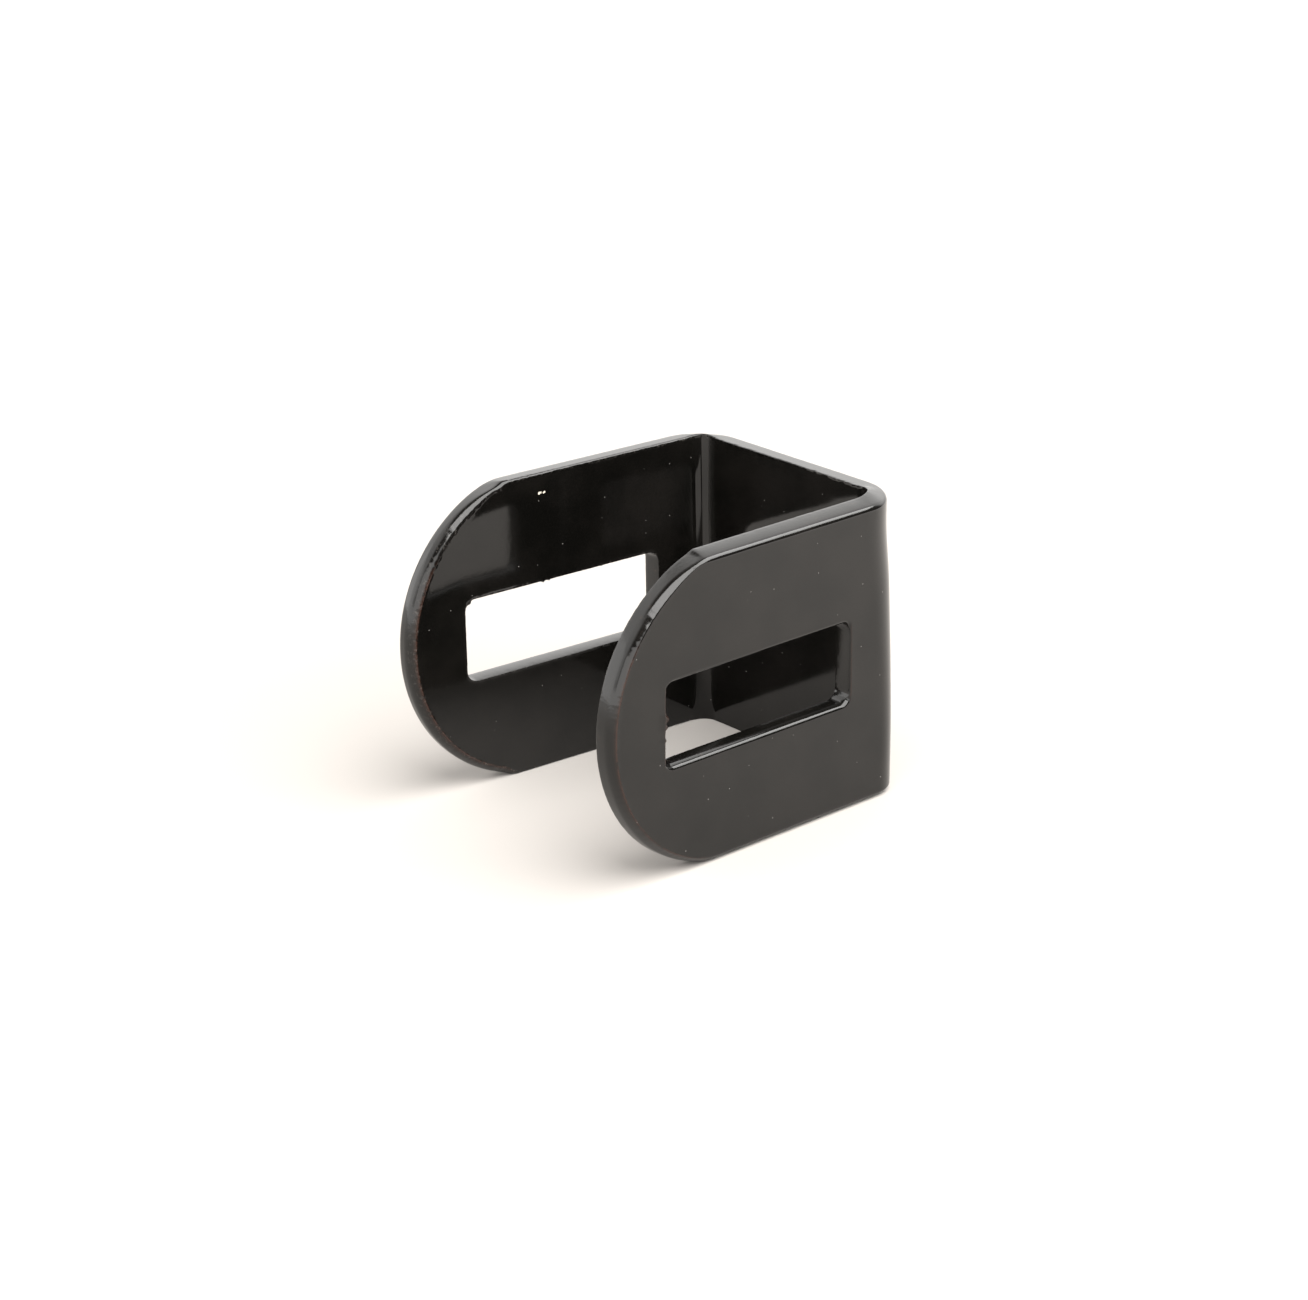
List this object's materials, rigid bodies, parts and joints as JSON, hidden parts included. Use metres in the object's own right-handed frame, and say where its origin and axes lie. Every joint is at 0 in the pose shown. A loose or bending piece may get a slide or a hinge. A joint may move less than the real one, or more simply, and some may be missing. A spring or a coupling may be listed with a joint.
{
  "type": "buckle slider",
  "caption": "U-shaped buckle slider of thick black-lacquered steel strip: a flat bridge joins facing ears with rounded ends, each pierced by a long strap slot.",
  "frame": {"origin": "middle of the part's box at the height of its bottom edge, where it stands", "axes": "+Z across the strip's width, up; +X out of the bridge, with the ears running to -X; +Y completes the frame, and the part mirrors about Y = 0"},
  "size_m": [0.0328, 0.0272, 0.026],
  "materials": {
    "black_lacquer": "gloss"
  },
  "bodies": {
    "root": {"slider_frame": "black_lacquer"}
  },
  "joints": []
}
